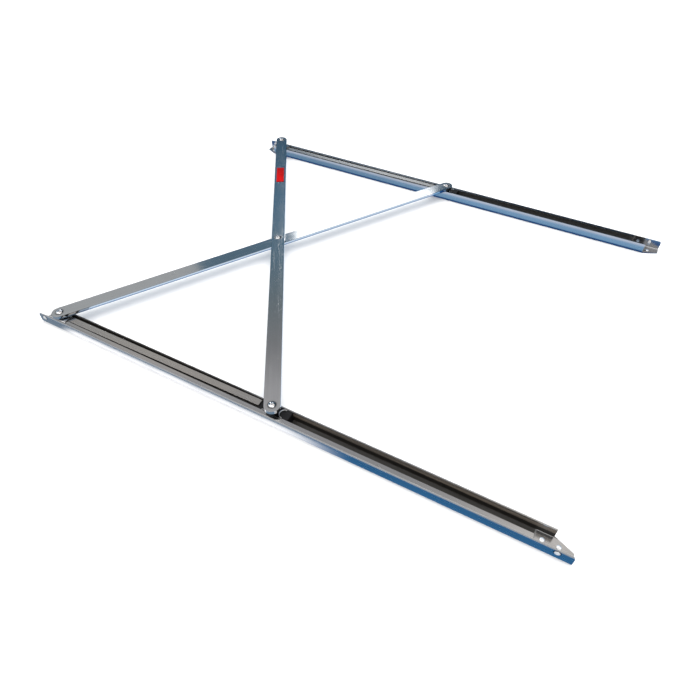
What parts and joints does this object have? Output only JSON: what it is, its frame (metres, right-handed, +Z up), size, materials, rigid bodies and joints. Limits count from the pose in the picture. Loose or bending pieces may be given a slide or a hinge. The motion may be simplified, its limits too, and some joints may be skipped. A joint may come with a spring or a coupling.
{
  "type": "parallel scissor stay",
  "caption": "Parallel scissor stay: long folded stainless rails joined by crossed flat arms; each arm turns on a fixed pivot in one rail and slides in the other, so the rails fold together.",
  "frame": {"origin": "centre of the open stay's bounding box in plan, on the plane that the rail floors rest on", "axes": "+X along the rails from their pivot ends to their free ends, +Y from the front rail to the rear rail, +Z up, along every hinge axis"},
  "size_m": [0.745, 0.587, 0.0303],
  "materials": {
    "front_rail": "folded stainless sheet, mill finish with fine lengthwise scratches",
    "front_pivot_saddle": "folded stainless sheet, mill finish",
    "front_pivot_bush": "turned stainless",
    "front_stop_strip": "stainless strip, satin",
    "front_free_end_rivet": "bright rivet head",
    "front_pivot_end_rivet": "bright rivet head",
    "front_pivot_rivet": "bright rivet head",
    "front_slider_shoe": "black nylon",
    "front_slider_plate": "steel plate with a black-oxide finish",
    "front_slider_rivet": "bright rivet head",
    "rear_rail": "folded stainless sheet, mill finish with fine lengthwise scratches",
    "rear_pivot_saddle": "folded stainless sheet, mill finish",
    "rear_pivot_bush": "turned stainless",
    "rear_stop_strip": "stainless strip, satin",
    "rear_free_end_rivet": "bright rivet head",
    "rear_pivot_end_rivet": "bright rivet head",
    "rear_pivot_rivet": "bright rivet head",
    "rear_slider_shoe": "black nylon",
    "rear_slider_plate": "steel plate with a black-oxide finish",
    "rear_slider_rivet": "bright rivet head",
    "front_pivot_washer": "stainless washer",
    "rear_pivot_spacer": "stainless spacer",
    "front_slider_spacer": "black nylon spacer",
    "rear_slider_washer": "stainless washer",
    "lower_arm": "flat stainless bar, brushed lengthwise",
    "upper_arm": "flat stainless bar, brushed lengthwise",
    "cross_rivet": "bright rivet head",
    "cross_washer": "stainless washer",
    "marker_patch": "plain red self-adhesive film, no text"
  },
  "bodies": {
    "front_rail": {"front_rail": "front_rail", "front_pivot_saddle": "front_pivot_saddle", "front_pivot_bush": "front_pivot_bush", "front_stop_strip": "front_stop_strip", "front_free_end_rivet": "front_free_end_rivet", "front_pivot_end_rivet": "front_pivot_end_rivet", "front_pivot_rivet": "front_pivot_rivet", "front_pivot_washer": "front_pivot_washer"},
    "front_slider": {"front_slider_shoe": "front_slider_shoe", "front_slider_plate": "front_slider_plate", "front_slider_rivet": "front_slider_rivet", "front_slider_spacer": "front_slider_spacer"},
    "rear_rail": {"rear_rail": "rear_rail", "rear_pivot_saddle": "rear_pivot_saddle", "rear_pivot_bush": "rear_pivot_bush", "rear_stop_strip": "rear_stop_strip", "rear_free_end_rivet": "rear_free_end_rivet", "rear_pivot_end_rivet": "rear_pivot_end_rivet", "rear_pivot_rivet": "rear_pivot_rivet", "rear_pivot_spacer": "rear_pivot_spacer"},
    "rear_slider": {"rear_slider_shoe": "rear_slider_shoe", "rear_slider_plate": "rear_slider_plate", "rear_slider_rivet": "rear_slider_rivet", "rear_slider_washer": "rear_slider_washer"},
    "lower_arm": {"lower_arm": "lower_arm", "cross_rivet": "cross_rivet", "cross_washer": "cross_washer"},
    "upper_arm": {"upper_arm": "upper_arm", "marker_patch": "marker_patch"}
  },
  "joints": [
    {"name": "fold", "type": "hinge", "parent": "front_rail", "child": "lower_arm", "pos_m": [-0.3405, -0.281, 0.0199], "axis": [0, 0, -1], "range_deg": [0, 56]},
    {"name": "cross_pivot", "type": "hinge", "parent": "lower_arm", "child": "upper_arm", "pos_m": [-0.1655, 0, 0.0259], "axis": [0, 0, -1], "range_deg": [-113, 0]},
    {"name": "rear_pivot", "type": "hinge", "parent": "upper_arm", "child": "rear_rail", "pos_m": [-0.3405, 0.281, 0.0259], "axis": [0, 0, -1], "range_deg": [0, 57]},
    {"name": "front_slider_pivot", "type": "hinge", "parent": "upper_arm", "child": "front_slider", "pos_m": [0.0095, -0.281, 0.0259], "axis": [0, 0, -1], "range_deg": [0, 57]},
    {"name": "rear_slider_pivot", "type": "hinge", "parent": "lower_arm", "child": "rear_slider", "pos_m": [0.0095, 0.281, 0.0199], "axis": [0, 0, -1], "range_deg": [-57, 0]}
  ],
  "couplings": [
    {"joint": "cross_pivot", "follows": "fold", "ratio": -2},
    {"joint": "rear_pivot", "follows": "fold", "ratio": 1},
    {"joint": "front_slider_pivot", "follows": "fold", "ratio": 1},
    {"joint": "rear_slider_pivot", "follows": "fold", "ratio": -1}
  ]
}
